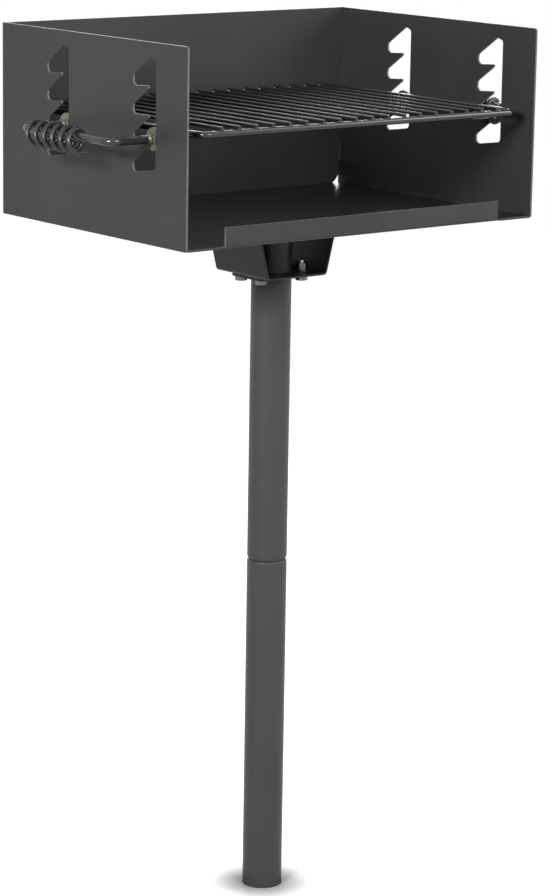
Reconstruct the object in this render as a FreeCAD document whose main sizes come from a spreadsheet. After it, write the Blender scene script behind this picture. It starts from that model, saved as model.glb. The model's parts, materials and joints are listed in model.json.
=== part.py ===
"""Park barbecue grill on a swivelling pedestal post.

Frame: origin at the centre of the post's foot, +Z up the post, the cook stands at -Y, X runs along
the firebox. Millimetres. Depths inside the firebox are measured back from its front edge, heights
from the underside of its floor.
"""
import FreeCAD, Part
import math
import os
import Sketcher

doc = FreeCAD.newDocument("park_grill")

# Driving dimensions

SIZES = [
    ("post_diameter", 60.3, "outside of the steel pipe post"),
    ("post_wall", 3.0, "pipe wall"),
    ("lower_post_height", 517.0, "foot to the shoulder that carries the upper post"),
    ("upper_post_length", 519.7, "upper pipe, rim to top end"),
    ("post_top_gap", 1.0, "top end of the pipe to the floor above it"),
    ("neck_length", 95.0, "swaged neck inside the upper pipe"),
    ("neck_clearance", 0.05, "radial running clearance of the neck"),
    ("swage_length", 12.0, "inside taper below the shoulder"),
    ("joint_gap", 0.3, "rim of the upper pipe above the shoulder"),
    ("shoulder_round", 2.7, "rounding of the lower pipe's shoulder"),
    ("rim_inset", 2.2, "upper pipe's rim inside its outer wall"),
    ("rim_taper", 4.5, "height of the taper to the rim"),
    ("rim_round", 5.0, "rounding of the taper into the pipe"),
    ("weld_clearance", 0.2, "radial room round the pipe where plates are welded to it"),
    ("box_width", 640.0, "outside of the side plates"),
    ("box_depth", 452.0, "front edge to the back face"),
    ("box_height", 280.0, "floor underside to the top edge"),
    ("box_sheet", 3.0, "sheet of the firebox"),
    ("post_setback", 217.0, "front edge to the post axis"),
    ("plate_corner", 4.5, "rounding of the plates' free corners"),
    ("back_corner", 24.0, "lower corners of the back panel, open for draught and rain"),
    ("lip_height", 30.0, "ash lip at the floor's front edge"),
    ("lip_side_gap", 65.0, "end of the lip to the side plate"),
    ("lip_corner", 4.0, "rounding of the lip's upper corners"),
    ("lip_bend", 4.5, "outside radius where the lip is bent up"),
    ("relief_width", 4.0, "relief notch at each end of the bend"),
    ("slot_setback", 72.0, "front edge to the straight edge of the front slots"),
    ("slot_spacing", 210.0, "front slots to back slots"),
    ("channel_width", 18.0, "upright channel of a slot"),
    ("notch_depth", 36.0, "notch behind the channel"),
    ("level_pitch", 40.0, "one grate level to the next"),
    ("tooth_margin", 60.0, "top edge to the highest tooth"),
    ("tooth_nose", 4.0, "upright nose of a tooth"),
    ("tooth_rise", 2.5, "rise of a tooth towards its nose"),
    ("notch_mouth", 14.5, "height of a notch at its closed end"),
    ("channel_head", 40.0, "top of the channel above the highest tooth"),
    ("head_drop", 3.7, "slope of the channel's top"),
    ("sill_rise", 8.0, "slope of the slot's bottom edge"),
    ("seat_round", 7.5, "rounding of a seat"),
    ("notch_round", 7.0, "rounding at the top of a notch"),
    ("nose_round", 2.0, "rounding of a tooth's nose"),
    ("head_round", 5.0, "rounding of the channel's upper corners"),
    ("channel_round", 6.0, "rounding of the channel's lower front corner"),
    ("bracket_bottom", 110.0, "outside width across the bottom of the bracket"),
    ("bracket_top", 152.0, "outside width where it meets the floor"),
    ("bracket_height", 84.0, "floor to the bracket's lower face"),
    ("bracket_depth", 124.0, "bracket, front to back"),
    ("bracket_sheet", 3.0, "sheet of the bracket"),
    ("bracket_bend", 7.0, "outside bend radius of the bracket"),
    ("flange_width", 96.0, "post flange along X"),
    ("flange_depth", 72.0, "post flange along Y"),
    ("flange_thickness", 5.0, "post flange plate"),
    ("flange_corner", 5.0, "rounding of the flange corners"),
    ("bolt_spacing_x", 76.0, "flange bolts along X"),
    ("bolt_spacing_y", 48.0, "flange bolts along Y"),
    ("bolt_diameter", 10.0, "flange bolt"),
    ("bolt_hole", 11.0, "clearance hole for the bolt"),
    ("bolt_tip", 5.0, "bolt end past the nut"),
    ("head_flats", 16.0, "across the flats of bolt heads and nuts"),
    ("head_height", 6.4, "bolt head"),
    ("nut_height", 8.0, "nut"),
    ("nut_bore", 10.1, "bore of nuts and washers round the bolt"),
    ("washer_diameter", 20.0, "flat washer"),
    ("washer_thickness", 2.0, "flat washer"),
    ("spring_diameter", 18.0, "spring washer"),
    ("spring_thickness", 2.2, "spring washer"),
    ("spring_slit", 1.6, "cut through the spring washer"),
    ("frame_wire", 9.5, "perimeter rod of the grate"),
    ("frame_side_gap", 30.0, "side plate to the axis of the grate's side rod"),
    ("frame_setback", 9.0, "front edge to the axis of the grate's front rod"),
    ("frame_depth", 413.0, "grate, front rod to back rod between axes"),
    ("frame_corner", 15.0, "axis radius of the grate's corners"),
    ("rod_diameter", 5.0, "cooking rods"),
    ("rod_side_gap", 34.0, "side rod to the first cooking rod"),
    ("rod_overhang", 1.0, "cooking rod past the axis of the front and back rods"),
    ("weld_seat", 0.05, "between rods that are welded where they cross"),
    ("handle_rod", 12.0, "rod of the side handles"),
    ("handle_reach", 69.0, "side plate's outer face to the axis of the hand bar"),
    ("handle_bend", 13.5, "axis radius of the handle's bends"),
    ("handle_inset", 20.0, "leg past the axis of the grate's side rod"),
    ("leg_play", 0.5, "leg to the tooth noses while it stands in the channel"),
    ("leg_seat", 1.0, "leg above the top of the tooth beside it"),
    ("disc_diameter", 32.0, "stop discs on the legs"),
    ("disc_thickness", 3.0, "stop discs"),
    ("disc_gap", 0.3, "stop disc to the side plate that it slides on"),
    ("disc_play", 0.1, "radial room of the disc on the leg"),
    ("coil_wire", 7.0, "wire of the coil grips"),
    ("coil_diameter", 38.5, "outside of the coil grips"),
    ("coil_turns", 5.5, "turns of a coil grip"),
    ("coil_length", 112.0, "first to last turn of a coil grip between axes"),
    ("coil_hang", 0.3, "bar to the inside of the coil that hangs on it"),
    ("left_coil_back_gap", 11.0, "back bend to the left grip"),
    ("right_coil_back_gap", 6.0, "back bend to the right grip"),
]
LEVELS = 4
REST_LEVEL = 2
ROD_COUNT = 18
QUARTER_SAMPLES = 12
BEVEL_ANGLE = 30

sheet = doc.addObject("Spreadsheet::Sheet", "Sizes")
for row, (alias, value, note) in enumerate(SIZES, start=1):
    sheet.set("A%d" % row, alias)
    sheet.set("B%d" % row, str(value))
    sheet.set("C%d" % row, note)
    sheet.setAlias("B%d" % row, alias)
doc.recompute()


class Size:
    """A length with its number and the spreadsheet expression that it comes from."""

    def __init__(self, value, text):
        self.value = value
        self.text = text

    def __add__(self, other):
        other = as_size(other)
        return Size(self.value + other.value, "(%s + %s)" % (self.text, other.text))

    def __sub__(self, other):
        other = as_size(other)
        return Size(self.value - other.value, "(%s - %s)" % (self.text, other.text))

    def __mul__(self, factor):
        factor = as_size(factor)
        return Size(self.value * factor.value, "(%s * %s)" % (self.text, factor.text))

    def __truediv__(self, divisor):
        divisor = as_size(divisor)
        return Size(self.value / divisor.value, "(%s / %s)" % (self.text, divisor.text))

    def __neg__(self):
        return as_size(0) - self

    def root(self):
        return Size(math.sqrt(self.value), "sqrt(%s)" % self.text)


def as_size(number):
    """A plain number joins a formula as it is."""
    return number if isinstance(number, Size) else Size(float(number), repr(float(number)))


S = {alias: Size(value, "Sizes." + alias) for alias, value, note in SIZES}

# Places that several pieces share

post_radius = S["post_diameter"] / 2
bore_radius = post_radius - S["post_wall"]
neck_radius = bore_radius - S["neck_clearance"]
upper_foot = S["lower_post_height"] + S["joint_gap"]
floor_level = upper_foot + S["upper_post_length"] + S["post_top_gap"]
front_edge = -S["post_setback"]
plate_outside = S["box_width"] / 2
plate_inside = plate_outside - S["box_sheet"]
bracket_foot = floor_level - S["bracket_height"]
flange_foot = bracket_foot - S["flange_thickness"]
bracket_seat = bracket_foot + S["bracket_sheet"]
nut_seat = bracket_seat + S["washer_thickness"] + S["spring_thickness"]
head_corner = S["head_flats"] / math.sqrt(3)
slot_depth = S["channel_width"] + S["notch_depth"]
leg_setback = S["slot_setback"] + S["channel_width"] - S["handle_rod"] / 2 - S["leg_play"]
top_tooth = S["box_height"] - S["tooth_margin"]
rest_tooth = top_tooth - S["level_pitch"] * REST_LEVEL
leg_level = floor_level + rest_tooth + S["handle_rod"] / 2 + S["leg_seat"]
leg_to_frame = S["handle_rod"] / 2 + S["frame_wire"] / 2 + S["weld_seat"]
frame_level = leg_level + leg_to_frame
rod_level = frame_level + S["frame_wire"] / 2 + S["rod_diameter"] / 2 + S["weld_seat"]
frame_half_width = plate_inside - S["frame_side_gap"]
bar_offset = plate_outside + S["handle_reach"]
leg_end = frame_half_width - S["handle_inset"]
coil_radius = (S["coil_diameter"] - S["coil_wire"]) / 2
coil_drop = coil_radius - S["coil_wire"] / 2 - S["handle_rod"] / 2 - S["coil_hang"]

# Helpers for bodies and bound sketches

LEFT = -1
RIGHT = 1
subparts = []


def bind(thing, path, size):
    """Set a property and tie it to the sheet."""
    thing.setExpression(path, as_size(size).text)


def place(thing, x, y, z):
    bind(thing, "Placement.Base.x", x)
    bind(thing, "Placement.Base.y", y)
    bind(thing, "Placement.Base.z", z)


def new_body(label, x=0, y=0, z=0):
    body = doc.addObject("PartDesign::Body", label)
    body.Label = label
    place(body, x, y, z)
    subparts.append(body)
    return body


def origin_part(body, role):
    return next(part for part in body.Origin.OriginFeatures if part.Role == role)


def new_sketch(body, plane, name, offset=None):
    """A sketch on one of the body's own planes, moved along the plane's normal by an offset."""
    sketch = body.newObject("Sketcher::SketchObject", name)
    sketch.AttachmentSupport = [(origin_part(body, plane), "")]
    sketch.MapMode = "FlatFace"
    if offset is not None:
        bind(sketch, "AttachmentOffset.Base.z", offset)
    return sketch


def fix_point(sketch, geometry, end, x, y):
    """Tie a point of the sketch to the sheet, measured from the sketch's origin."""
    for kind, size in (("DistanceX", as_size(x)), ("DistanceY", as_size(y))):
        number = sketch.addConstraint(Sketcher.Constraint(kind, -1, 1, geometry, end, size.value))
        bind(sketch, "Constraints[%d]" % number, size)


def add_radius(sketch, geometry, radius):
    radius = as_size(radius)
    number = sketch.addConstraint(Sketcher.Constraint("Radius", geometry, radius.value))
    bind(sketch, "Constraints[%d]" % number, radius)


def add_circle(sketch, x, y, radius):
    x, y, radius = as_size(x), as_size(y), as_size(radius)
    centre = FreeCAD.Vector(x.value, y.value, 0)
    circle = sketch.addGeometry(Part.Circle(centre, FreeCAD.Vector(0, 0, 1), radius.value), False)
    fix_point(sketch, circle, 3, x, y)
    add_radius(sketch, circle, radius)


def corner_arc(before, corner, after, radius):
    """Tangent points, centre and turning sense of a rounded corner."""
    to_before = (before - corner).normalize()
    to_after = (after - corner).normalize()
    half = to_before.getAngle(to_after) / 2
    reach = radius / math.tan(half)
    middle = (to_before + to_after).normalize()
    centre = corner + middle * (radius / math.sin(half))
    left_turn = to_after.cross(to_before).z > 0
    return corner + to_before * reach, corner + to_after * reach, centre, left_turn


def add_path(sketch, corners, closed=True):
    """Straight lines from corner to corner, each corner (x, y) or (x, y, radius), all bound."""
    corners = [tuple(as_size(value) for value in corner) for corner in corners]
    points = [FreeCAD.Vector(corner[0].value, corner[1].value, 0) for corner in corners]
    count = len(points)
    starts, ends, arcs = list(points), list(points), {}
    for i, corner in enumerate(corners):
        if len(corner) == 3:
            arcs[i] = corner_arc(points[i - 1], points[i], points[(i + 1) % count], corner[2].value)
            ends[i], starts[i] = arcs[i][0], arcs[i][1]
    lines = {}
    for i in range(count if closed else count - 1):
        following = (i + 1) % count
        lines[i] = sketch.addGeometry(Part.LineSegment(starts[i], ends[following]), False)
    for i, corner in enumerate(corners):
        arriving = lines.get((i - 1) % count) if closed or i > 0 else None
        leaving = lines.get(i)
        if i in arcs:
            round_corner(sketch, arriving, leaving, corner, arcs[i])
        elif arriving is None:
            fix_point(sketch, leaving, 1, corner[0], corner[1])
        else:
            if leaving is not None:
                sketch.addConstraint(Sketcher.Constraint("Coincident", arriving, 2, leaving, 1))
            fix_point(sketch, arriving, 2, corner[0], corner[1])


def round_corner(sketch, arriving, leaving, corner, arc_data):
    """A tangent arc between two lines, with the sharp corner kept as a bound point."""
    first, second, centre, left_turn = arc_data
    x, y, radius = corner
    circle = Part.Circle(centre, FreeCAD.Vector(0, 0, 1), radius.value)
    start, end = (first, second) if left_turn else (second, first)
    start_angle = math.atan2(start.y - centre.y, start.x - centre.x)
    end_angle = math.atan2(end.y - centre.y, end.x - centre.x)
    arc = sketch.addGeometry(Part.ArcOfCircle(circle, start_angle, end_angle), False)
    arc_in, arc_out = (1, 2) if left_turn else (2, 1)
    sketch.addConstraint(Sketcher.Constraint("Tangent", arriving, 2, arc, arc_in))
    sketch.addConstraint(Sketcher.Constraint("Tangent", arc, arc_out, leaving, 1))
    add_radius(sketch, arc, radius)
    sharp = sketch.addGeometry(Part.Point(FreeCAD.Vector(x.value, y.value, 0)), True)
    sketch.addConstraint(Sketcher.Constraint("PointOnObject", sharp, 1, arriving))
    sketch.addConstraint(Sketcher.Constraint("PointOnObject", sharp, 1, leaving))
    fix_point(sketch, sharp, 1, x, y)


def feature(body, kind, name, profile):
    made = body.newObject("PartDesign::" + kind, name)
    made.Profile = (profile, [""])
    return made


def pad(body, name, profile, length, side="One side", backwards=False):
    made = feature(body, "Pad", name, profile)
    made.SideType = side
    made.Reversed = backwards
    bind(made, "Length", length)
    return made


def cut_through(body, name, profile):
    """A pocket through everything on both sides of its sketch."""
    made = feature(body, "Pocket", name, profile)
    made.SideType = "Symmetric"
    made.Type = "ThroughAll"
    return made


def turn(body, name, profile):
    """A full turn about the sketch's upright axis."""
    made = feature(body, "Revolution", name, profile)
    made.ReferenceAxis = (profile, ["V_Axis"])
    made.Angle = 360
    return made


def sweep(body, name, profile, spine):
    made = feature(body, "AdditivePipe", name, profile)
    made.Spine = (spine, [])
    return made


def rectangle(left, bottom, right, top, corner=None):
    """Corners of a rectangle, rounded where a radius is given."""
    extra = () if corner is None else (corner,)
    return [(x, y) + extra for x, y in ((left, bottom), (right, bottom), (right, top), (left, top))]


# Post


def lower_post():
    """Pipe with a swaged neck that the upper post turns on."""
    body = new_body("lower_post")
    shoulder = S["lower_post_height"]
    neck_top = shoulder + S["neck_length"]
    neck_bore = neck_radius - S["post_wall"]
    profile = new_sketch(body, "XZ_Plane", "lower_post_section")
    add_path(profile, [
        (bore_radius, 0),
        (post_radius, 0),
        (post_radius, shoulder, S["shoulder_round"]),
        (neck_radius, shoulder),
        (neck_radius, neck_top),
        (neck_bore, neck_top),
        (neck_bore, shoulder),
        (bore_radius, shoulder - S["swage_length"]),
    ])
    turn(body, "lower_post_turn", profile)


def upper_post():
    """Plain pipe with its rim drawn in, from the shoulder to just under the floor."""
    body = new_body("upper_post", z=upper_foot)
    profile = new_sketch(body, "XZ_Plane", "upper_post_section")
    add_path(profile, [
        (bore_radius, 0),
        (post_radius - S["rim_inset"], 0),
        (post_radius, S["rim_taper"], S["rim_round"]),
        (post_radius, S["upper_post_length"]),
        (bore_radius, S["upper_post_length"]),
    ])
    turn(body, "upper_post_turn", profile)


def add_bolt_circles(sketch, radius):
    """The four flange bolt places round the post."""
    for x in (-S["bolt_spacing_x"] / 2, S["bolt_spacing_x"] / 2):
        for y in (-S["bolt_spacing_y"] / 2, S["bolt_spacing_y"] / 2):
            add_circle(sketch, x, y, radius)


def post_flange():
    """Plate welded round the upper post, under the bracket."""
    body = new_body("post_flange", z=flange_foot)
    outline = new_sketch(body, "XY_Plane", "flange_outline")
    half_width, half_depth = S["flange_width"] / 2, S["flange_depth"] / 2
    add_path(outline, rectangle(-half_width, -half_depth, half_width, half_depth, S["flange_corner"]))
    add_circle(outline, 0, 0, post_radius + S["weld_clearance"])
    add_bolt_circles(outline, S["bolt_hole"] / 2)
    pad(body, "flange_plate", outline, S["flange_thickness"])


def mounting_bracket():
    """Folded channel under the floor, open to the front and the back."""
    body = new_body("mounting_bracket", z=floor_level)
    half_bottom, half_top = S["bracket_bottom"] / 2, S["bracket_top"] / 2
    height, thickness = S["bracket_height"], S["bracket_sheet"]
    spread = half_top - half_bottom
    slant = (spread * spread + height * height).root()
    wall_run = thickness * slant / height
    inner_top = half_top - wall_run
    inner_bottom = inner_top - spread * (height - thickness) / height
    inner_bend = S["bracket_bend"] - thickness
    section = new_sketch(body, "XZ_Plane", "bracket_section")
    add_path(section, [
        (-half_top, 0),
        (-half_bottom, -height, S["bracket_bend"]),
        (half_bottom, -height, S["bracket_bend"]),
        (half_top, 0),
        (inner_top, 0),
        (inner_bottom, thickness - height, inner_bend),
        (-inner_bottom, thickness - height, inner_bend),
        (-inner_top, 0),
    ])
    pad(body, "bracket_channel", section, S["bracket_depth"], side="Symmetric")
    holes = new_sketch(body, "XY_Plane", "bracket_holes")
    add_circle(holes, 0, 0, post_radius + S["weld_clearance"])
    add_bolt_circles(holes, S["bolt_hole"] / 2)
    cut_through(body, "bracket_hole_cut", holes)


# Fasteners, each kind four times in one node


def hexagon():
    """Corners of a hexagon with two flats square to X."""
    half_flats = S["head_flats"] / 2
    half_side = head_corner / 2
    return [
        (half_flats, -half_side),
        (half_flats, half_side),
        (0, head_corner),
        (-half_flats, half_side),
        (-half_flats, -half_side),
        (0, -head_corner),
    ]


def bevel_hexagon(body, name, edge, inward):
    """Turn the corners of a hexagon down to a cone, from an end face inwards."""
    half_flats = S["head_flats"] / 2
    outside = S["head_flats"]
    fall = (head_corner - half_flats) * math.tan(math.radians(BEVEL_ANGLE)) * inward
    section = new_sketch(body, "XZ_Plane", name + "_section")
    add_path(section, [
        (half_flats, edge),
        (outside, edge),
        (outside, fall * 2 + edge),
        (head_corner, fall + edge),
    ])
    made = feature(body, "Groove", name, section)
    made.ReferenceAxis = (section, ["V_Axis"])
    made.Angle = 360
    return made


def at_each_bolt(body, name, features):
    """Repeat a solid's features at the four bolt places."""
    pattern = body.newObject("PartDesign::LinearPattern", name)
    pattern.Originals = features
    pattern.Direction = (origin_part(body, "X_Axis"), [""])
    pattern.Occurrences = 2
    bind(pattern, "Length", S["bolt_spacing_x"])
    pattern.Direction2 = (origin_part(body, "Y_Axis"), [""])
    pattern.Occurrences2 = 2
    bind(pattern, "Length2", S["bolt_spacing_y"])
    body.Tip = pattern


def fastener_body(label, z):
    """A body whose origin is the front left bolt's axis."""
    return new_body(label, -S["bolt_spacing_x"] / 2, -S["bolt_spacing_y"] / 2, z)


def flange_bolts():
    """Hexagon bolts that point up through flange and bracket."""
    body = fastener_body("flange_bolts", flange_foot)
    head = new_sketch(body, "XY_Plane", "bolt_head_outline")
    add_path(head, hexagon())
    hexagon_pad = pad(body, "bolt_head", head, S["head_height"], backwards=True)
    bevel = bevel_hexagon(body, "bolt_head_bevel", -S["head_height"], 1)
    shank = new_sketch(body, "XY_Plane", "bolt_shank_outline")
    add_circle(shank, 0, 0, S["bolt_diameter"] / 2)
    length = nut_seat + S["nut_height"] + S["bolt_tip"] - flange_foot
    shank_pad = pad(body, "bolt_shank", shank, length)
    at_each_bolt(body, "bolt_places", [hexagon_pad, bevel, shank_pad])


def flange_nuts():
    body = fastener_body("flange_nuts", nut_seat)
    outline = new_sketch(body, "XY_Plane", "nut_outline")
    add_path(outline, hexagon())
    add_circle(outline, 0, 0, S["nut_bore"] / 2)
    blank = pad(body, "nut_blank", outline, S["nut_height"])
    bevel = bevel_hexagon(body, "nut_top_bevel", S["nut_height"], -1)
    at_each_bolt(body, "nut_places", [blank, bevel])


def add_ring(body, name, outside, thickness):
    outline = new_sketch(body, "XY_Plane", name + "_outline")
    add_circle(outline, 0, 0, outside / 2)
    add_circle(outline, 0, 0, S["nut_bore"] / 2)
    return pad(body, name, outline, thickness)


def flat_washers():
    body = fastener_body("flat_washers", bracket_seat)
    ring = add_ring(body, "flat_ring", S["washer_diameter"], S["washer_thickness"])
    at_each_bolt(body, "flat_places", [ring])


def spring_washers():
    """Rings cut through at the front."""
    body = fastener_body("spring_washers", bracket_seat + S["washer_thickness"])
    ring = add_ring(body, "spring_ring", S["spring_diameter"], S["spring_thickness"])
    slit = new_sketch(body, "XY_Plane", "spring_slit_outline")
    half_slit = S["spring_slit"] / 2
    add_path(slit, rectangle(-half_slit, -S["spring_diameter"], half_slit, -S["nut_bore"] / 4))
    cut = cut_through(body, "spring_slit_cut", slit)
    at_each_bolt(body, "spring_places", [ring, cut])


# Firebox


def floor_pan():
    """Flat floor with an ash lip bent up along most of its front edge."""
    body = new_body("floor_pan", 0, front_edge, floor_level)
    thickness = S["box_sheet"]
    lip_half = plate_inside - S["lip_side_gap"]
    bend, inner_bend = S["lip_bend"], S["lip_bend"] - thickness
    section = new_sketch(body, "YZ_Plane", "lip_section")
    add_path(section, [
        (0, 0, bend),
        (0, S["lip_height"]),
        (thickness, S["lip_height"]),
        (thickness, thickness, inner_bend),
        (bend * 2, thickness),
        (bend * 2, 0),
    ])
    pad(body, "lip", section, lip_half * 2, side="Symmetric")
    outline = new_sketch(body, "XY_Plane", "floor_outline")
    relief_end = lip_half + S["relief_width"]
    back = S["box_depth"] - thickness
    add_path(outline, [
        (-plate_inside, 0),
        (-relief_end, 0),
        (-relief_end, bend),
        (relief_end, bend),
        (relief_end, 0),
        (plate_inside, 0),
        (plate_inside, back),
        (-plate_inside, back),
    ])
    pad(body, "floor", outline, thickness)
    corners = new_sketch(body, "XZ_Plane", "lip_corner_outline")
    add_lip_corner(corners, lip_half, LEFT)
    add_lip_corner(corners, lip_half, RIGHT)
    made = feature(body, "Pocket", "lip_corner_cut", corners)
    made.Reversed = True
    bind(made, "Length", thickness)


def add_lip_corner(sketch, lip_half, side):
    """The piece outside the rounding at an upper end of the lip."""
    radius, top = S["lip_corner"], S["lip_height"]
    end_x = lip_half * side
    inner_x = (lip_half - radius) * side
    points = [(end_x, top - radius), (end_x, top), (inner_x, top)]
    vectors = [FreeCAD.Vector(x.value, y.value, 0) for x, y in points]
    upright = sketch.addGeometry(Part.LineSegment(vectors[0], vectors[1]), False)
    level = sketch.addGeometry(Part.LineSegment(vectors[1], vectors[2]), False)
    centre = FreeCAD.Vector(inner_x.value, (top - radius).value, 0)
    circle = Part.Circle(centre, FreeCAD.Vector(0, 0, 1), radius.value)
    quarter = (0, math.pi / 2) if side == RIGHT else (math.pi / 2, math.pi)
    arc = sketch.addGeometry(Part.ArcOfCircle(circle, *quarter), False)
    low_end, high_end = (1, 2) if side == RIGHT else (2, 1)
    sketch.addConstraint(Sketcher.Constraint("Coincident", upright, 2, level, 1))
    sketch.addConstraint(Sketcher.Constraint("Coincident", upright, 1, arc, low_end))
    sketch.addConstraint(Sketcher.Constraint("Coincident", level, 2, arc, high_end))
    fix_point(sketch, upright, 1, *points[0])
    fix_point(sketch, upright, 2, *points[1])
    fix_point(sketch, level, 2, *points[2])
    add_radius(sketch, arc, radius)


def back_panel():
    """Panel between the side plates, its lower corners rounded off."""
    body = new_body("back_panel", 0, front_edge + S["box_depth"], floor_level)
    outline = new_sketch(body, "XZ_Plane", "back_outline")
    add_path(outline, [
        (-plate_inside, 0, S["back_corner"]),
        (plate_inside, 0, S["back_corner"]),
        (plate_inside, S["box_height"]),
        (-plate_inside, S["box_height"]),
    ])
    pad(body, "back_sheet", outline, S["box_sheet"])


def slot_corners():
    """Outline of a slot: the channel's front edge, its top, then notch and tooth at each level."""
    front = S["slot_setback"]
    nose = front + S["channel_width"]
    closed_end = front + slot_depth
    head = top_tooth + S["channel_head"]
    corners = [
        (front, head - S["head_drop"], S["head_round"]),
        (front + S["channel_width"] * 2 / 3, head, S["head_round"]),
    ]
    for level in range(LEVELS):
        tooth = top_tooth - S["level_pitch"] * level
        seat = tooth - S["tooth_rise"]
        corners.append((closed_end, seat + S["notch_mouth"], S["notch_round"]))
        corners.append((closed_end, seat, S["seat_round"]))
        if level < LEVELS - 1:
            corners.append((nose, tooth, S["nose_round"]))
            corners.append((nose, tooth - S["tooth_nose"], S["nose_round"]))
    corners.append((front, seat + S["sill_rise"], S["channel_round"]))
    return corners


def side_plate(label, side):
    """Side sheet with two toothed slots for the handle legs."""
    body = new_body(label, plate_inside * side, front_edge, floor_level)
    outline = new_sketch(body, "YZ_Plane", label + "_outline")
    add_path(outline, [
        (0, 0, S["plate_corner"]),
        (S["box_depth"], 0),
        (S["box_depth"], S["box_height"]),
        (0, S["box_height"], S["plate_corner"]),
    ])
    pad(body, label + "_sheet", outline, S["box_sheet"], backwards=side == LEFT)
    slot = new_sketch(body, "YZ_Plane", label + "_slot")
    add_path(slot, slot_corners())
    cut = cut_through(body, label + "_front_slot", slot)
    pattern = body.newObject("PartDesign::LinearPattern", label + "_slots")
    pattern.Originals = [cut]
    pattern.Direction = (origin_part(body, "Y_Axis"), [""])
    pattern.Occurrences = 2
    bind(pattern, "Length", S["slot_spacing"])
    body.Tip = pattern


# Grate


def grate_frame():
    """Rod bent into a rectangle, closed by a weld in the middle of its front."""
    body = new_body("grate_frame", 0, front_edge + S["frame_setback"], frame_level)
    spine = new_sketch(body, "XY_Plane", "frame_axis")
    half, depth, corner = frame_half_width, S["frame_depth"], S["frame_corner"]
    add_path(spine, [
        (0, 0),
        (half, 0, corner),
        (half, depth, corner),
        (-half, depth, corner),
        (-half, 0, corner),
    ])
    section = new_sketch(body, "YZ_Plane", "frame_section")
    add_circle(section, 0, 0, S["frame_wire"] / 2)
    sweep(body, "frame_rod", section, spine)


def grate_rods():
    """Cooking rods from front to back on top of the frame, one node each."""
    first = S["rod_side_gap"] - frame_half_width
    pitch = -first * 2 / (ROD_COUNT - 1)
    for number in range(ROD_COUNT):
        label = "grate_rod_%02d" % (number + 1)
        front = front_edge + S["frame_setback"] - S["rod_overhang"]
        body = new_body(label, first + pitch * number, front, rod_level)
        section = new_sketch(body, "XZ_Plane", label + "_section")
        add_circle(section, 0, 0, S["rod_diameter"] / 2)
        pad(body, label + "_rod", section, S["frame_depth"] + S["rod_overhang"] * 2, backwards=True)


def side_handle(label, side):
    """U-shaped rod: two legs through the slots and a hand bar outside."""
    body = new_body(label, leg_end * side, front_edge + leg_setback, leg_level)
    reach = (bar_offset - leg_end) * side
    spine = new_sketch(body, "XY_Plane", label + "_axis")
    add_path(spine, [
        (0, 0),
        (reach, 0, S["handle_bend"]),
        (reach, S["slot_spacing"], S["handle_bend"]),
        (0, S["slot_spacing"]),
    ], closed=False)
    section = new_sketch(body, "YZ_Plane", label + "_section")
    add_circle(section, 0, 0, S["handle_rod"] / 2)
    sweep(body, label + "_rod", section, spine)


def handle_discs():
    """Stop discs on the four legs, just inside the side plates, one node each."""
    number = 0
    for side in (LEFT, RIGHT):
        for setback in (leg_setback, leg_setback + S["slot_spacing"]):
            number += 1
            label = "handle_disc_%02d" % number
            face = (plate_inside - S["disc_gap"]) * side
            body = new_body(label, face, front_edge + setback, leg_level)
            section = new_sketch(body, "YZ_Plane", label + "_section")
            add_circle(section, 0, 0, S["disc_diameter"] / 2)
            add_circle(section, 0, 0, S["handle_rod"] / 2 + S["disc_play"])
            pad(body, label + "_plate", section, S["disc_thickness"], backwards=side == RIGHT)


# Coil grips


def helix_point(angle, radius, pitch):
    """Point and unit tangent of a helix about Y that starts at its lowest point."""
    rise = pitch / (2 * math.pi)
    point = FreeCAD.Vector(-radius * math.sin(angle), rise * angle, -radius * math.cos(angle))
    tangent = FreeCAD.Vector(-radius * math.cos(angle), rise, radius * math.sin(angle))
    return point, tangent.normalize()


def arc_from(start, tangent, end):
    """The arc that leaves a point along a tangent and ends at another point."""
    chord = end - start
    half = chord.Length / 2
    along = FreeCAD.Vector(chord).normalize()
    turn_angle = tangent.getAngle(chord)
    across = (tangent - along * tangent.dot(along)).normalize()
    middle = start + chord * 0.5 + across * (half * math.tan(turn_angle / 2))
    return Part.Arc(start, middle, end).toShape()


def biarc(start, start_tangent, end, end_tangent):
    """Two tangent arcs between two points with given directions."""
    gap = end - start
    both = start_tangent + end_tangent
    fold = 2 * (1 - start_tangent.dot(end_tangent))
    reach = (-gap.dot(both) + math.sqrt(gap.dot(both) ** 2 + fold * gap.dot(gap))) / fold
    joint = (start + end + (start_tangent - end_tangent) * reach) * 0.5
    first = arc_from(start, start_tangent, joint)
    joint_tangent = (joint - start - start_tangent * reach).normalize()
    second = arc_from(joint, joint_tangent, end)
    return [first, second]


def least_self_gap(points, wire):
    """Least clear distance between turns of the coil, at least half a turn apart on the wire."""
    half_turn = QUARTER_SAMPLES * 2
    least = min(
        (points[j] - points[i]).Length
        for i in range(len(points))
        for j in range(i + half_turn, len(points))
    )
    return least - wire


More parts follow.
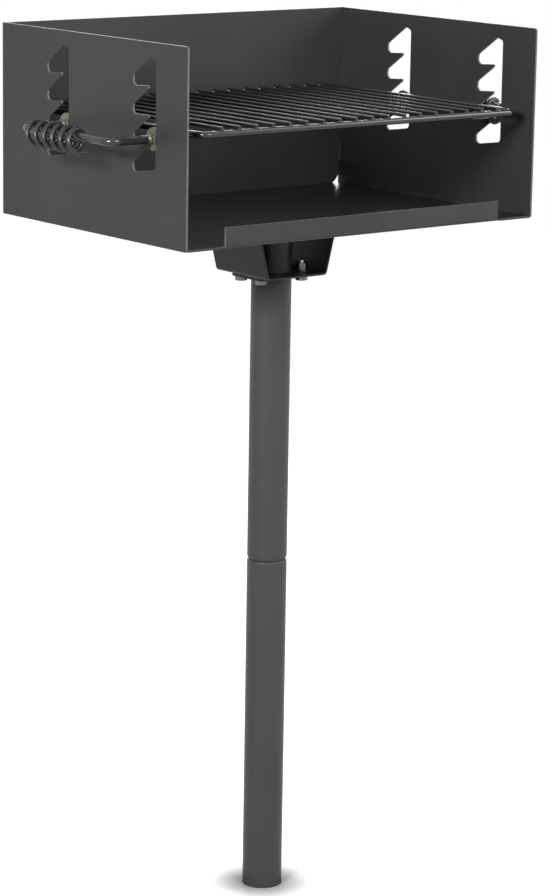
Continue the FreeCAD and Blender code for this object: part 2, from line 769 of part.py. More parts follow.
def coil_grip(label, side, back_gap):
    """Open coil of round wire that hangs on the hand bar and cools the grip."""
    wire = S["coil_wire"].value
    radius = coil_radius.value
    turns = S["coil_turns"].value
    pitch = S["coil_length"].value / turns
    quarters = round(turns * 4)
    edges = []
    point, tangent = helix_point(0, radius, pitch)
    edges.append(Part.LineSegment(point - tangent * wire, point).toShape())
    for quarter in range(quarters):
        end, end_tangent = helix_point((quarter + 1) * math.pi / 2, radius, pitch)
        edges += biarc(point, tangent, end, end_tangent)
        point, tangent = end, end_tangent
    edges.append(Part.LineSegment(point, point + tangent * wire).toShape())
    path = Part.Wire(edges)
    start = edges[0].Vertexes[0].Point
    direction = helix_point(0, radius, pitch)[1]
    ring = Part.Wire([Part.Circle(start, direction, wire / 2).toShape()])
    shape = path.makePipeShell([ring], True, False)
    samples = path.discretize(Number=quarters * QUARTER_SAMPLES)
    print("%s least gap between turns %.2f mm" % (label, least_self_gap(samples, wire)))
    grip = doc.addObject("Part::Feature", label)
    grip.Label = label
    grip.Shape = shape
    back_bend = front_edge + leg_setback + S["slot_spacing"] - S["handle_bend"]
    place(grip, bar_offset * side, back_bend - back_gap - S["coil_wire"] / 2 - S["coil_length"],
          leg_level - coil_drop)
    subparts.append(grip)


# Build


lower_post()
upper_post()
post_flange()
mounting_bracket()
flange_bolts()
flange_nuts()
flat_washers()
spring_washers()
floor_pan()
back_panel()
side_plate("left_side_plate", LEFT)
side_plate("right_side_plate", RIGHT)
grate_frame()
grate_rods()
side_handle("left_handle", LEFT)
side_handle("right_handle", RIGHT)
handle_discs()
coil_grip("left_grip_coil", LEFT, S["left_coil_back_gap"])
coil_grip("right_grip_coil", RIGHT, S["right_coil_back_gap"])
doc.recompute()

# Check every object, then write each sub-part

for item in doc.Objects:
    if "Invalid" in item.State or "Error" in item.State:
        raise RuntimeError("%s failed: %s" % (item.Label, item.State))
for item in subparts:
    if item.Shape.isNull() or not item.Shape.isValid() or item.Shape.Volume <= 0:
        raise RuntimeError("%s has no valid shape" % item.Label)

os.makedirs("parts", exist_ok=True)
for item in subparts:
    item.Shape.exportStep("parts/%s.step" % item.Label)
    print("%s solids %d volume %.1f" % (item.Label, len(item.Shape.Solids), item.Shape.Volume))
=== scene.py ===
"""Looks of the park barbecue grill: powder-coated sheet, rods, coil grips, welds and zinc fasteners."""

import json
import math

import bmesh
import bpy
from mathutils import Matrix, Vector, noise


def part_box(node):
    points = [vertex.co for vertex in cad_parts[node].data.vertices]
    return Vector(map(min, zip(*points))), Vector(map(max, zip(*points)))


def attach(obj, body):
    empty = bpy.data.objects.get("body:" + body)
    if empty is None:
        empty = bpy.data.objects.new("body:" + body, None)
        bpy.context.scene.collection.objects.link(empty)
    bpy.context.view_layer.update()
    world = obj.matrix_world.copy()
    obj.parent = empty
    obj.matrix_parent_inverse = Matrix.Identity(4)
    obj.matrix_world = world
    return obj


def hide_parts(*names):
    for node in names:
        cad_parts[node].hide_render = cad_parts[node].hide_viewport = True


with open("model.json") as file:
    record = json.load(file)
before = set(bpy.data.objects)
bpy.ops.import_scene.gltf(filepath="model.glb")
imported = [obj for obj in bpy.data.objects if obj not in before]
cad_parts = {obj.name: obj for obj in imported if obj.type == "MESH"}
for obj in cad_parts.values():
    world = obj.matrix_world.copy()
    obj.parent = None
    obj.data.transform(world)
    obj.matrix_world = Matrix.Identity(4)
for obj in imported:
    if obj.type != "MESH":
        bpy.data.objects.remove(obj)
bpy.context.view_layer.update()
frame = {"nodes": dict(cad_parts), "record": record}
MM = 0.001
MERGE_DISTANCE = 0.002 * MM


# Colour and node helpers


def srgb(code):
    """A hex colour as the linear values that a shader takes."""
    channels = [int(code[i:i + 2], 16) / 255 for i in (1, 3, 5)]
    linear = [c / 12.92 if c <= 0.04045 else ((c + 0.055) / 1.055) ** 2.4 for c in channels]
    return (*linear, 1.0)


def add(tree, kind, settings=None, **inputs):
    """Add a node; an input is a value, or an output socket of another node."""
    node = tree.nodes.new(kind)
    for name, value in (settings or {}).items():
        setattr(node, name, value)
    for name, value in inputs.items():
        socket = node.inputs[int(name[1:])] if name[1:].isdigit() else node.inputs[name.replace("_", " ")]
        if isinstance(value, bpy.types.NodeSocket):
            tree.links.new(value, socket)
        else:
            socket.default_value = value
    return node


def blank_material(name):
    """A material whose node tree is empty, and that tree."""
    material = bpy.data.materials.new(name)
    material.use_nodes = True
    material.node_tree.nodes.clear()
    return material, material.node_tree


def per_mm(size):
    """Noise scale, in object coordinates of metres, for features of that many millimetres."""
    return 1 / (size * MM)


def between(tree, factor, low, high):
    """A number that runs from low to high as a 0 to 1 factor does."""
    return add(tree, "ShaderNodeMapRange", None, Value=factor, To_Min=low, To_Max=high).outputs["Result"]


def sum_of(tree, factor, share, rest):
    """A factor times its share, added to the rest."""
    return add(tree, "ShaderNodeMath", {"operation": "MULTIPLY_ADD"}, _0=factor, _1=share, _2=rest).outputs[0]


def blend_colour(tree, factor, first, second):
    """From the first hex colour to the second as a 0 to 1 factor does."""
    node = add(tree, "ShaderNodeMix", {"data_type": "RGBA"}, _0=factor, _6=srgb(first), _7=srgb(second))
    return node.outputs[2]


# Materials, with the sizes of their patterns in millimetres

CLOUD_SIZE = 130
GRAIN_SIZE = 0.8
PEEL_WAVE = 2.5
EDGE_PATCH = 14
# Shares of the clouds and grains in a coat's colour, and of the grains in its bumps
CLOUD_TONE = 0.65
GRAIN_TONE = 0.35
GRAIN_HEIGHT = 0.25
# Roughness of the thin coat on cut edges
EDGE_ROUGH_LOW = 0.42
EDGE_ROUGH_HIGH = 0.54
COAT_IOR = 1.5
# Under a real powder coat's 1.5: fitted to the levels of the photograph under these lamps.
FITTED_IOR = 1.33


def powder_coat(name, dark, light, rough_low, rough_high, ior, peel):
    """A coat sprayed and baked on steel: satin, a faint orange peel and soft cloudy shading."""
    material, tree = blank_material(name)
    place = add(tree, "ShaderNodeTexCoord").outputs["Object"]
    # Film thickness drifts over a hand's width, which the eye sees as cloudy gloss.
    clouds = add(tree, "ShaderNodeTexNoise", None, Vector=place, Scale=per_mm(CLOUD_SIZE), Detail=3.0)
    # Grains of the powder, drawn far larger than real ones so that they show.
    grains = add(tree, "ShaderNodeTexNoise", None, Vector=place, Scale=per_mm(GRAIN_SIZE), Detail=2.0)
    # Orange peel, from crest to crest.
    waves = add(tree, "ShaderNodeTexNoise", None, Vector=place, Scale=per_mm(PEEL_WAVE), Detail=1.0)
    grain_part = sum_of(tree, grains.outputs["Fac"], GRAIN_TONE, 0.0)
    tone = sum_of(tree, clouds.outputs["Fac"], CLOUD_TONE, grain_part)
    height = sum_of(tree, grains.outputs["Fac"], GRAIN_HEIGHT, waves.outputs["Fac"])
    bump = add(tree, "ShaderNodeBump", None, Strength=peel, Distance=0.3 * MM, Height=height)
    shader = add(tree, "ShaderNodeBsdfPrincipled", None,
                 Base_Color=blend_colour(tree, tone, dark, light),
                 Roughness=between(tree, clouds.outputs["Fac"], rough_low, rough_high),
                 IOR=ior, Normal=bump.outputs["Normal"])
    add(tree, "ShaderNodeOutputMaterial", None, Surface=shader.outputs["BSDF"])
    return material


def plated_metal(name, dark, light, rough_low, rough_high, crystal, patch, depth):
    """Bare or plated metal: a fine sparkle of crystals and duller patches where it has tarnished."""
    material, tree = blank_material(name)
    place = add(tree, "ShaderNodeTexCoord").outputs["Object"]
    crystals = add(tree, "ShaderNodeTexVoronoi", None, Vector=place, Scale=per_mm(crystal))
    patches = add(tree, "ShaderNodeTexNoise", None, Vector=place, Scale=per_mm(patch), Detail=3.0)
    bump = add(tree, "ShaderNodeBump", None, Strength=depth, Distance=0.1 * MM,
               Height=crystals.outputs["Distance"])
    shader = add(tree, "ShaderNodeBsdfPrincipled", None, Metallic=1.0,
                 Base_Color=blend_colour(tree, patches.outputs["Fac"], dark, light),
                 Roughness=between(tree, patches.outputs["Fac"], rough_low, rough_high),
                 Normal=bump.outputs["Normal"])
    add(tree, "ShaderNodeOutputMaterial", None, Surface=shader.outputs["BSDF"])
    return material


def cut_edge(name, coat, thin, steel, spot, share):
    """Powder coat drawn thin over laser-cut rims and bends, with specks of steel showing through; its paler
    tone is partly thin coat and partly painted highlight.
    """
    material, tree = blank_material(name)
    place = add(tree, "ShaderNodeTexCoord").outputs["Object"]
    patches = add(tree, "ShaderNodeTexNoise", None, Vector=place, Scale=per_mm(EDGE_PATCH), Detail=2.0)
    specks = add(tree, "ShaderNodeTexNoise", None, Vector=place, Scale=per_mm(spot), Detail=2.0)
    bare = add(tree, "ShaderNodeMapRange", None, Value=specks.outputs["Fac"],
               From_Min=share, From_Max=share + 0.06).outputs["Result"]
    # The paler tone stands partly for the thin coat and partly for a painted highlight of the edges.
    coated = blend_colour(tree, patches.outputs["Fac"], coat, thin)
    mixed = add(tree, "ShaderNodeMix", {"data_type": "RGBA"}, _0=bare, _6=coated, _7=srgb(steel))
    bump = add(tree, "ShaderNodeBump", None, Strength=0.2, Distance=0.2 * MM, Height=specks.outputs["Fac"])
    shader = add(tree, "ShaderNodeBsdfPrincipled", None,
                 Base_Color=mixed.outputs[2], Metallic=bare, IOR=FITTED_IOR,
                 Roughness=between(tree, patches.outputs["Fac"], EDGE_ROUGH_LOW, EDGE_ROUGH_HIGH),
                 Normal=bump.outputs["Normal"])
    add(tree, "ShaderNodeOutputMaterial", None, Surface=shader.outputs["BSDF"])
    return material


# A dark satin grey with a broad soft sheen.
SHEET_COAT = powder_coat("satin black powder coat on steel sheet",
                         "#29292a", "#3d3d3e", 0.40, 0.50, FITTED_IOR, 0.10)
# The pan bed looks darker and smoother than the upright faces: this copy of the coat is smoother, and its
# darker tone is painted shade.
BED_SHADE_COAT = powder_coat("smooth black powder coat on the pan bed",
                       "#1c1c1d", "#272728", 0.28, 0.36, FITTED_IOR, 0.08)
# The post looks paler than the sheet because it is lit more brightly, so this copy of the coat is paler:
# painted light.
POST_LIT_COAT = powder_coat("satin black powder coat on steel pipe",
                        "#3a3a3b", "#4b4b4c", 0.36, 0.46, FITTED_IOR, 0.10)
# Nearly black rods, each with a thin soft grey line of light.
ROD_COAT = powder_coat("baked black enamel on grate rods",
                       "#1b1919", "#272525", 0.30, 0.38, COAT_IOR, 0.06)
# The glossiest coat, with a small hot highlight at each bend.
HANDLE_COAT = powder_coat("semi-gloss black coat on handle rod",
                          "#222223", "#2e2e2f", 0.17, 0.23, COAT_IOR, 0.04)
# Dark wire whose turns catch a dull line of light.
SPRING_COAT = powder_coat("black finished spring wire",
                          "#1d1d1d", "#2b2a2a", 0.28, 0.40, COAT_IOR, 0.06)
# Pale thin outlines round the sheets: partly thin coat, partly painted highlight.
CUT_EDGE = cut_edge("powder coat thin on cut steel edges and painted highlight", "#565656", "#6e6d6b", "#a8a49c", 6, 0.68)
# Bright silver; on the corners and threads of the fasteners it is a painted highlight.
BRIGHT_ZINC_AND_HIGHLIGHT = plated_metal("bright zinc plated steel and painted highlight", "#a9abad", "#d3d5d6", 0.22, 0.34, 0.9, 5, 0.12)
# Duller silver on their flats, which keeps the corners the brightest: painted shade.
SHADED_ZINC_FLATS = plated_metal("zinc plated steel darkened as painted shade", "#5b5b5a", "#8d8c8a", 0.34, 0.48, 0.9, 4, 0.12)
# Straw grey, warmer than the coats beside it.
DISC_STEEL = plated_metal("bare steel disc with straw scale", "#6a675f", "#8b877d", 0.42, 0.55, 0.9, 6, 0.12)
# Straw grey too, paler and rougher in its bumps than the discs.
WELD_METAL = plated_metal("bare weld metal with light scale", "#6b675e", "#9c978d", 0.34, 0.52, 1.4, 2, 0.30)

COATS = {
    "powder_coat": SHEET_COAT,
    "zinc_fasteners": BRIGHT_ZINC_AND_HIGHLIGHT,
    "grate_steel": ROD_COAT,
    "handle_steel": HANDLE_COAT,
    "disc_steel": DISC_STEEL,
    "grip_wire": SPRING_COAT,
}


def paint(thing, material):
    """Give a node of the frame one material."""
    thing.data.materials.clear()
    thing.data.materials.append(material)


for part in frame["record"]["subparts"]:
    paint(frame["nodes"][part["node"]], COATS[part["material_slot"]])
# The pipes take the paler coat, which is painted light.
for pipe in ("lower_post", "upper_post"):
    paint(frame["nodes"][pipe], POST_LIT_COAT)
# The frame's thick rod is as glossy as the handles in the photograph.
paint(frame["nodes"]["grate_frame"], HANDLE_COAT)


# Mesh helpers

# Material indices of a finished piece
BROAD_FACE = 0
EDGE_FACE = 1
# Index of the pan bed's darker coat, which is painted shade
BED_SHADE_FACE = 2

SHARP_EDGE = math.radians(40)
FLAT_JOIN = math.radians(0.5)


def finish_mesh(shape, name, body, material, edge_material=None):
    """Turn a bmesh into a smooth piece that rides on a body; faces of index 1 take the edge finish."""
    for face in shape.faces:
        face.smooth = True
    mesh = bpy.data.meshes.new(name)
    mesh.materials.append(material)
    if edge_material:
        mesh.materials.append(edge_material)
    shape.to_mesh(mesh)
    shape.free()
    piece = bpy.data.objects.new(name, mesh)
    bpy.context.scene.collection.objects.link(piece)
    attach(piece, body)
    return piece


def even_shading(piece):
    """Flat faces stay flat and only the narrow roundings between them shade smoothly."""
    shading = piece.modifiers.new("even shading", "WEIGHTED_NORMAL")
    shading.keep_sharp = True


def merged_copy(node):
    """A node's loose triangles joined into one skin with whole flat faces."""
    shape = bmesh.new()
    shape.from_mesh(frame["nodes"][node].data)
    bmesh.ops.remove_doubles(shape, verts=shape.verts, dist=MERGE_DISTANCE)
    bmesh.ops.dissolve_limit(shape, angle_limit=FLAT_JOIN, verts=shape.verts, edges=shape.edges)
    return shape


def round_edges(shape, size):
    """Round the sharp edges by a size in millimetres, and return the faces that this made."""
    sharp = [e for e in shape.edges if e.is_manifold and e.calc_face_angle() > SHARP_EDGE]
    made = bmesh.ops.bevel(shape, geom=sharp, offset=size * MM, affect="EDGES", segments=2,
                           profile=0.5, material=-1, clamp_overlap=True)
    return made["faces"]


def spin_outline(shape, points, centre, axis, steps, closed=True):
    """Turn an outline once all the way round an axis."""
    verts = [shape.verts.new(point) for point in points]
    ends = verts[1:] + verts[:1] if closed else verts[1:]
    edges = [shape.edges.new(pair) for pair in zip(verts, ends)]
    bmesh.ops.spin(shape, geom=verts + edges, cent=centre, axis=axis, angle=math.tau,
                   steps=steps, use_merge=True)


def close_skin(shape):
    """Merge points that lie together, then turn every face outwards."""
    bmesh.ops.remove_doubles(shape, verts=shape.verts, dist=MERGE_DISTANCE)
    bmesh.ops.recalc_face_normals(shape, faces=shape.faces)


def stand_in(shape, node, material, edge_material):
    """Make the bmesh the piece that is seen in place of a node of the firebox."""
    piece = finish_mesh(shape, node + "_finished", "firebox", material, edge_material)
    even_shading(piece)
    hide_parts(node)
    return piece


# Sheet metal, with roundings in millimetres

PLATE_ROUND = 0.8
SHEET_ROUND = 0.5
BRACKET_ROUND = 0.4
X_AXIS = 0
# A face's normal along an axis, above which it counts as facing that way
RIM_FACING = 0.9
BROAD_FACING = 0.95
# Square metres: the bed is the only upward face of the pan that is larger.
BED_LEAST_AREA = 0.01


def soft_edged(node, edge_round, rim_axis, material=SHEET_COAT, edge_material=CUT_EDGE):
    """A part with rounded edges; these, and the cut rims along one axis, take the edge finish."""
    shape = merged_copy(node)
    rounded = round_edges(shape, edge_round)
    for face in shape.faces:
        if rim_axis is not None and abs(face.normal[rim_axis]) > RIM_FACING:
            face.material_index = EDGE_FACE
    for face in rounded:
        face.material_index = EDGE_FACE
    return stand_in(shape, node, material, edge_material)


def side_plate(node):
    """A side plate: everything but its two broad faces is a laser-cut rim."""
    shape = merged_copy(node)
    round_edges(shape, PLATE_ROUND)
    for face in shape.faces:
        face.material_index = BROAD_FACE if abs(face.normal.x) > BROAD_FACING else EDGE_FACE
    stand_in(shape, node, SHEET_COAT, CUT_EDGE)


def floor_pan():
    """The floor and its ash lip, with a bed of its own smoother coat whose darker tone is painted shade."""
    pan = soft_edged("floor_pan", SHEET_ROUND, X_AXIS)
    pan.data.materials.append(BED_SHADE_COAT)
    # The bed, the pan's large upward face, takes the coat darkened by painted shade.
    for face in pan.data.polygons:
        if face.normal.z > BROAD_FACING and face.area > BED_LEAST_AREA:
            face.material_index = BED_SHADE_FACE


side_plate("left_side_plate")
side_plate("right_side_plate")
soft_edged("back_panel", SHEET_ROUND, X_AXIS)
floor_pan()
soft_edged("post_flange", SHEET_ROUND, None, edge_material=SHEET_COAT)
soft_edged("mounting_bracket", BRACKET_ROUND, None, edge_material=SHEET_COAT)


# Fasteners, in millimetres

RING_ROUND = 0.4
HEAD_ROUND = 0.8
BOLT_PLACES = [(x, y) for x in (-38, 38) for y in (-24, 24)]
THREAD_RADIUS = 4.95
THREAD_DEPTH = 0.8
THREAD_PITCH = 1.5
THREAD_STEPS = 20
# How far down inside the plain shank the thread starts, and its own plain end at the top
THREAD_SUNK = 0.5
PLAIN_END = 1


def thread_outline(foot, top):
    """Half the outline of a thread whose ridges are rings, as radius and height in metres."""
    root = (THREAD_RADIUS - THREAD_DEPTH) * MM
    ridges = int((top - PLAIN_END * MM - foot) / (THREAD_PITCH * MM))
    outline = [(0.0, foot)]
    for ridge in range(ridges):
        at = foot + ridge * THREAD_PITCH * MM
        outline.append((root, at))
        outline.append((THREAD_RADIUS * MM, at + THREAD_PITCH * MM / 2))
    outline.append((root, top))
    outline.append((0.0, top))
    return outline


def hexagon_bolts():
    """Hexagon heads from the solids, and M10 threads turned as rings above the bracket."""
    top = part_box("flange_bolts")[1].z
    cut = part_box("flat_washers")[0].z
    shape = merged_copy("flange_bolts")
    everything = shape.verts[:] + shape.edges[:] + shape.faces[:]
    bmesh.ops.bisect_plane(shape, geom=everything, plane_co=(0, 0, cut), plane_no=(0, 0, 1),
                           clear_outer=True)
    bmesh.ops.holes_fill(shape, edges=[e for e in shape.edges if e.is_boundary], sides=0)
    for face in round_edges(shape, HEAD_ROUND):
        face.material_index = EDGE_FACE
    heads = set(shape.faces)
    outline = thread_outline(cut - THREAD_SUNK * MM, top)
    for x, y in BOLT_PLACES:
        axis = Vector((x * MM, y * MM, 0))
        points = [axis + Vector((radius, 0, z)) for radius, z in outline]
        spin_outline(shape, points, axis, (0, 0, 1), THREAD_STEPS, closed=False)
    # The threads take the bright zinc, as painted highlight.
    for face in shape.faces:
        if face not in heads:
            face.material_index = EDGE_FACE
    close_skin(shape)
    piece = finish_mesh(shape, "hexagon_bolts", "firebox", SHADED_ZINC_FLATS, BRIGHT_ZINC_AND_HIGHLIGHT)
    even_shading(piece)
    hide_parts("flange_bolts")


# Rings with dull flats and bright corners: painted shade and painted highlight.
for ring in ("flange_nuts", "flat_washers", "spring_washers"):
    soft_edged(ring, RING_ROUND, None, SHADED_ZINC_FLATS, BRIGHT_ZINC_AND_HIGHLIGHT)
hexagon_bolts()


# Welds, with places and half sizes in millimetres

# How far a lump swells and shrinks, over how wide a wave, and how unlike the next lump
LUMP_SWELL = 0.18
LUMP_WAVE = 1.6
LUMP_SHIFT = 3.7

ROD_END_INSET = 1
ROD_FRONT_SPOT = (3.7, 3.0, 2.0)
ROD_FRONT_RISE = 0.2
ROD_BACK_SPOT = (3.6, 2.8, 2.1)
ROD_BACK_RISE = 0.4
FRAME_BEAD = (3.2, 4.6, 2.4)
FRAME_BEAD_RISE = 0.6
FRAME_BEAD_STEPS = (-6.0, 6.0)
DISC_NUMBERS = range(1, 5)

# Out from the plate's outer face along the leg, and away from the leg's axis
COLLAR_OUTLINE = [(0.5, 4.4), (0.7, 6.9), (2.2, 7.4), (4.4, 6.7), (7.0, 5.9), (9.6, 5.4), (12.0, 4.9),
                  (12.6, 4.4)]
COLLAR_STEPS = 28
# The collar is roughened where it is this far out and between these distances from the axis.
ROUGH_FROM = 0.4
ROUGH_LEAST = 4.6
ROUGH_MOST = 9
ROUGH_SHARE = 0.16
ROUGH_WAVE = 2.6

DISC_RING_OUT = 0.4
DISC_RING_RADIUS = 6.7
DISC_RING_SPOT = (1.7, 2.1, 2.1)
DISC_RING_TURNS = [math.tau * lump / 14 for lump in range(14)]
DISC_BEAD_OUT = 1.4
DISC_BEAD_RADIUS = 6.2
DISC_BEAD_SPOT = (1.6, 1.5, 1.5)
# Towards the front only, where the slot's channel leaves the bead room
DISC_BEAD_TURNS = [math.radians(-30 + 75 * lump / 4) for lump in range(5)]

STITCH_PITCH = 3.4
FLOOR_SHEET = 3
# From the sheet to the middle of a stitch on it
OFF_PLATE = 1.3
OFF_FLOOR = 1.0
OFF_BACK = 1.2
OFF_BRACKET = 1.2
UNDER_PAN = 1.4
FLOOR_STITCHES = (-62, 36, 150)
FLOOR_STITCH_HALF = 8
FLOOR_STITCH_SPOT = (2.0, 3.0, 2.0)
BACK_STITCHES = (1090, 1160)
BACK_STITCH_HALF = 12
BACK_STITCH_SPOT = (2.3, 2.3, 3.4)
BRACKET_STITCHES = (-44, 0, 44)
BRACKET_STITCH_HALF = 11
BRACKET_STITCH_SPOT = (2.6, 3.4, 2.6)

# Out from the pipe, and up from the flange's underside
POST_FILLET = [(-0.4, 0.2), (-0.4, -3.6), (0.9, -2.7), (2.5, -1.2), (3.5, 0.2)]
POST_FILLET_STEPS = 90
# The fillet is roughened this far out from the pipe.
FILLET_ROUGH_FROM = 0.5
FILLET_ROUGH_SHARE = 0.012
FILLET_WAVE = 3


def weld_lump(shape, place, size, number):
    """One drop of weld metal, pressed to its half sizes in millimetres and left uneven."""
    made = bmesh.ops.create_icosphere(shape, subdivisions=2, radius=1.0)
    for vert in made["verts"]:
        swell = 1 + LUMP_SWELL * noise.noise(vert.co * LUMP_WAVE + Vector((number * LUMP_SHIFT, 0.5, 0)))
        vert.co = Vector(place) + Vector([c * s * swell * MM for c, s in zip(vert.co, size)])


def weld_row(shape, first, last, size):
    """Overlapping lumps from one point to another, as a stitch of weld."""
    run = Vector(last) - Vector(first)
    count = max(2, round(run.length / (STITCH_PITCH * MM)) + 1)
    for number in range(count):
        weld_lump(shape, Vector(first) + run * (number / (count - 1)), size, number)


def weld_circle(shape, x, leg_y, leg_z, radius, turns, size):
    """Lumps on a circle round a leg, at turns counted from its front."""
    for number, turn in enumerate(turns):
        place = (x, leg_y - radius * math.cos(turn), leg_z + radius * math.sin(turn))
        weld_lump(shape, place, size, number)


def grate_welds():
    """A spot at each end of each cooking rod, and beads where the legs cross under the frame."""
    shape = bmesh.new()
    coated = bmesh.new()
    rods = sorted(name for name in frame["nodes"] if name.startswith("grate_rod_"))
    for number, rod in enumerate(rods):
        low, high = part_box(rod)
        middle = (low.x + high.x) / 2
        front = (middle, low.y + ROD_END_INSET * MM, low.z + ROD_FRONT_RISE * MM)
        back = (middle, high.y - ROD_END_INSET * MM, low.z + ROD_BACK_RISE * MM)
        weld_lump(coated, front, ROD_FRONT_SPOT, number)
        weld_lump(shape, back, ROD_BACK_SPOT, number)
    frame_low, frame_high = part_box("grate_frame")
    wire = (frame_high.z - frame_low.z) / 2
    for number in DISC_NUMBERS:
        low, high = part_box("handle_disc_%02d" % number)
        side = 1 if low.x > 0 else -1
        rod_axis = (frame_high.x - wire) * side
        leg_y = (low.y + high.y) / 2
        for step in FRAME_BEAD_STEPS:
            place = (rod_axis + step * MM, leg_y, frame_low.z + FRAME_BEAD_RISE * MM)
            weld_lump(coated, place, FRAME_BEAD, number)
    finish_mesh(shape, "grate_welds_bare", "grate", WELD_METAL)
    finish_mesh(coated, "grate_welds_coated", "grate", ROD_COAT)


def collar(shape, side, leg_y, leg_z):
    """A cone of weld run out along a leg, outside the plate so that it clears the slot's teeth."""
    face = max(abs(corner.x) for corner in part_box("left_side_plate"))
    start = Vector((0, leg_y, leg_z))
    points = [start + Vector(((face + out * MM) * side, 0, reach * MM)) for out, reach in COLLAR_OUTLINE]
    spin_outline(shape, points, start, (1, 0, 0), COLLAR_STEPS)
    for vert in shape.verts:
        away = Vector((0, vert.co.y - leg_y, vert.co.z - leg_z))
        outside = vert.co.x * side > face + ROUGH_FROM * MM
        if outside and ROUGH_LEAST * MM < away.length < ROUGH_MOST * MM:
            vert.co += away * ROUGH_SHARE * noise.noise(vert.co / (ROUGH_WAVE * MM))


def disc_welds():
    """Weld round each leg inside its disc, a short bead on the disc's other face, and a collar outside."""
    shape = bmesh.new()
    for number in DISC_NUMBERS:
        low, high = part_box("handle_disc_%02d" % number)
        side = 1 if low.x > 0 else -1
        leg_y = (low.y + high.y) / 2
        leg_z = (low.z + high.z) / 2
        inner = min(abs(low.x), abs(high.x)) - DISC_RING_OUT * MM
        outer = max(abs(low.x), abs(high.x)) + DISC_BEAD_OUT * MM
        weld_circle(shape, inner * side, leg_y, leg_z, DISC_RING_RADIUS * MM, DISC_RING_TURNS,
                    DISC_RING_SPOT)
        weld_circle(shape, outer * side, leg_y, leg_z, DISC_BEAD_RADIUS * MM, DISC_BEAD_TURNS,
                    DISC_BEAD_SPOT)
        collar(shape, side, leg_y, leg_z)
    close_skin(shape)
    finish_mesh(shape, "disc_welds", "grate", WELD_METAL)


def sheet_welds():
    """Stitches that hold the firebox together and the bracket under it, coated with the sheet."""
    shape = bmesh.new()
    plate_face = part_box("right_side_plate")[0].x
    pan_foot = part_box("floor_pan")[0].z
    bracket_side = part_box("mounting_bracket")[1].x
    floor_top = pan_foot + FLOOR_SHEET * MM
    back_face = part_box("back_panel")[0].y
    for side in (-1, 1):
        inside = (plate_face - OFF_PLATE * MM) * side
        for y in FLOOR_STITCHES:
            weld_row(shape, (inside, (y - FLOOR_STITCH_HALF) * MM, floor_top + OFF_FLOOR * MM),
                     (inside, (y + FLOOR_STITCH_HALF) * MM, floor_top + OFF_FLOOR * MM), FLOOR_STITCH_SPOT)
        for z in BACK_STITCHES:
            weld_row(shape, (inside, back_face - OFF_BACK * MM, (z - BACK_STITCH_HALF) * MM),
                     (inside, back_face - OFF_BACK * MM, (z + BACK_STITCH_HALF) * MM), BACK_STITCH_SPOT)
        under = (bracket_side + OFF_BRACKET * MM) * side
        for y in BRACKET_STITCHES:
            weld_row(shape, (under, (y - BRACKET_STITCH_HALF) * MM, pan_foot - UNDER_PAN * MM),
                     (under, (y + BRACKET_STITCH_HALF) * MM, pan_foot - UNDER_PAN * MM), BRACKET_STITCH_SPOT)
    finish_mesh(shape, "firebox_welds", "firebox", SHEET_COAT)


def post_weld():
    """Fillet weld round the pipe under the flange, coated with the post."""
    shape = bmesh.new()
    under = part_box("post_flange")[0].z
    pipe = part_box("upper_post")[1].x
    points = [(pipe + out * MM, 0, under + rise * MM) for out, rise in POST_FILLET]
    spin_outline(shape, points, (0, 0, 0), (0, 0, 1), POST_FILLET_STEPS)
    close_skin(shape)
    for vert in shape.verts:
        reach = Vector((vert.co.x, vert.co.y)).length
        if reach > pipe + FILLET_ROUGH_FROM * MM:
            vert.co.x *= 1 + FILLET_ROUGH_SHARE * noise.noise(vert.co / (FILLET_WAVE * MM))
            vert.co.y *= 1 + FILLET_ROUGH_SHARE * noise.noise(vert.co / (FILLET_WAVE * MM))
    # The weld takes the post's paler coat, which is painted light.
    finish_mesh(shape, "post_weld", "firebox", POST_LIT_COAT)


grate_welds()
disc_welds()
sheet_welds()
post_weld()


# Camera, from the photograph's straight edges

# Metres, and angles in degrees
CAMERA_AT = Vector((-2.8571, -3.6229, 1.6971))
CAMERA_TURN = math.radians(38.342)
CAMERA_DOWN = math.radians(12.345)
CAMERA_ROLL = math.radians(0.924)
FOCAL_PIXELS = 3144.5
LONG_SIDE = 896

camera_data = bpy.data.cameras.new("camera")
camera_data.sensor_width = 36
camera_data.lens = FOCAL_PIXELS / LONG_SIDE * camera_data.sensor_width
camera = bpy.data.objects.new("camera", camera_data)
bpy.context.scene.collection.objects.link(camera)
ahead = Vector((math.sin(CAMERA_TURN) * math.cos(CAMERA_DOWN),
                math.cos(CAMERA_TURN) * math.cos(CAMERA_DOWN), -math.sin(CAMERA_DOWN)))
level = ahead.cross(Vector((0, 0, 1))).normalized()
upward = level.cross(ahead)
aside = level * math.cos(CAMERA_ROLL) + upward * math.sin(CAMERA_ROLL)
upward = upward * math.cos(CAMERA_ROLL) - level * math.sin(CAMERA_ROLL)
turned = Matrix((aside, upward, -ahead)).transposed().to_4x4()
camera.matrix_world = Matrix.Translation(CAMERA_AT) @ turned
bpy.context.scene.camera = camera


# World, floor and lamps

ROOM_LIGHT = 0.02
FLOOR_SIZE = 8
PAPER_IN_LIGHT = "#9f9f9f"
PAPER_SEEN = "#a6a6a6"
PAPER_IN_GLOSS = "#101010"
# Metres from the post's axis, over which the paper is lifted to white; nearer the axis it is held back, a
# painted shadow round the foot
LIFT_FROM = 0.02
LIFT_TO = 0.11
AIM = Vector((0, 0, 1.0))
LAMP_DISTANCE = 3.4

bpy.context.scene.view_settings.view_transform = "Standard"


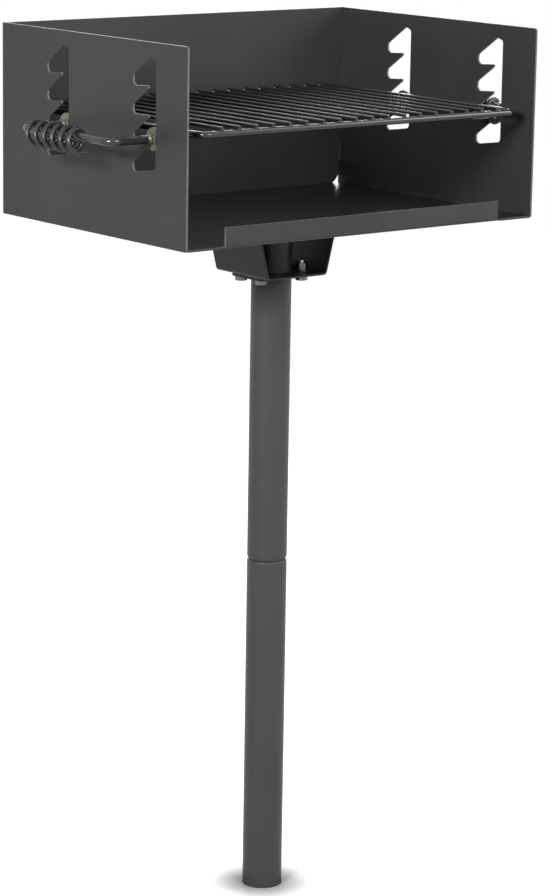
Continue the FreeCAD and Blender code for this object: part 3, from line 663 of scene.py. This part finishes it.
def looked_at(tree):
    """1 for rays by which the camera, metal or glass sees a thing, 0 for the light it sends back."""
    path = add(tree, "ShaderNodeLightPath").outputs
    direct = add(tree, "ShaderNodeMath", {"operation": "MAXIMUM"},
                 _0=path["Is Camera Ray"], _1=path["Is Transmission Ray"]).outputs[0]
    either = add(tree, "ShaderNodeMath", {"operation": "MAXIMUM"}, _0=direct, _1=path["Is Glossy Ray"])
    return either.outputs[0]


world = bpy.data.worlds.new("studio")
bpy.context.scene.world = world
world.use_nodes = True
world.node_tree.nodes.clear()
room = add(world.node_tree, "ShaderNodeBackground", None, Color=srgb("#ffffff"),
           Strength=between(world.node_tree, looked_at(world.node_tree), ROOM_LIGHT, 1.0))
add(world.node_tree, "ShaderNodeOutputWorld", None, Surface=room.outputs[0])


def studio_floor():
    """Paper sweep: white to look at, mid grey in the light that it sends back, shaded by the post, and darker
    round the foot where its white glow is held back: a painted shadow.
    """
    shape = bmesh.new()
    bmesh.ops.create_grid(shape, x_segments=1, y_segments=1, size=FLOOR_SIZE)
    mesh = bpy.data.meshes.new("studio_floor")
    shape.to_mesh(mesh)
    shape.free()
    floor = bpy.data.objects.new("studio_floor", mesh)
    bpy.context.scene.collection.objects.link(floor)
    paper, tree = blank_material("white paper floor")
    seen = looked_at(tree)
    in_gloss = add(tree, "ShaderNodeLightPath").outputs["Is Glossy Ray"]
    place = add(tree, "ShaderNodeTexCoord").outputs["Object"]
    away = add(tree, "ShaderNodeVectorMath", {"operation": "LENGTH"}, _0=place).outputs["Value"]
    # The lamps are aimed at the grill, so the paper is lifted to white away from the foot; near the foot it
    # is not lifted, which paints a shadow there over the foot's own and darkens what the foot reflects.
    lift = add(tree, "ShaderNodeMapRange", {"interpolation_type": "SMOOTHSTEP"}, Value=away,
               From_Min=LIFT_FROM, From_Max=LIFT_TO, To_Min=0.0, To_Max=1.0).outputs["Result"]
    glow = add(tree, "ShaderNodeEmission", None, Color=srgb("#ffffff"),
               Strength=sum_of(tree, seen, lift, 0.0))
    # Gloss sees little but the glow, which is white by itself.
    lit = add(tree, "ShaderNodeMix", {"data_type": "RGBA"}, _0=in_gloss,
              _6=blend_colour(tree, seen, PAPER_IN_LIGHT, PAPER_SEEN), _7=srgb(PAPER_IN_GLOSS)).outputs[2]
    diffuse = add(tree, "ShaderNodeBsdfDiffuse", None, Color=lit)
    both = add(tree, "ShaderNodeAddShader", None, _0=diffuse.outputs[0], _1=glow.outputs[0])
    add(tree, "ShaderNodeOutputMaterial", None, Surface=both.outputs[0])
    mesh.materials.append(paper)


def softbox(name, turn, rise, width, height, watts):
    """A soft lamp turned from the front towards the left and raised, in degrees, aimed at the firebox."""
    light = bpy.data.lights.new(name, "AREA")
    light.shape = "RECTANGLE"
    light.size, light.size_y = width, height
    light.energy = watts
    lamp = bpy.data.objects.new(name, light)
    bpy.context.scene.collection.objects.link(lamp)
    turn, rise = math.radians(turn), math.radians(rise)
    reach = LAMP_DISTANCE * math.cos(rise)
    lamp.location = AIM + Vector((-reach * math.sin(turn), -reach * math.cos(turn),
                                  LAMP_DISTANCE * math.sin(rise)))
    lamp.rotation_euler = (AIM - lamp.location).to_track_quat("-Z", "Y").to_euler()
    lamp.visible_camera = False


studio_floor()
softbox("left_key", 66, 20, 1.0, 0.45, 112)
softbox("front_high", 2, 26, 1.4, 1.0, 56)
softbox("right_high", -55, 30, 1.4, 1.2, 40)
softbox("right_low", -55, 8, 1.4, 1.2, 17)
# Opposite the camera, so that the back isn't black when it is looked at from behind.
softbox("behind", -142, 14, 1.6, 1.2, 60)
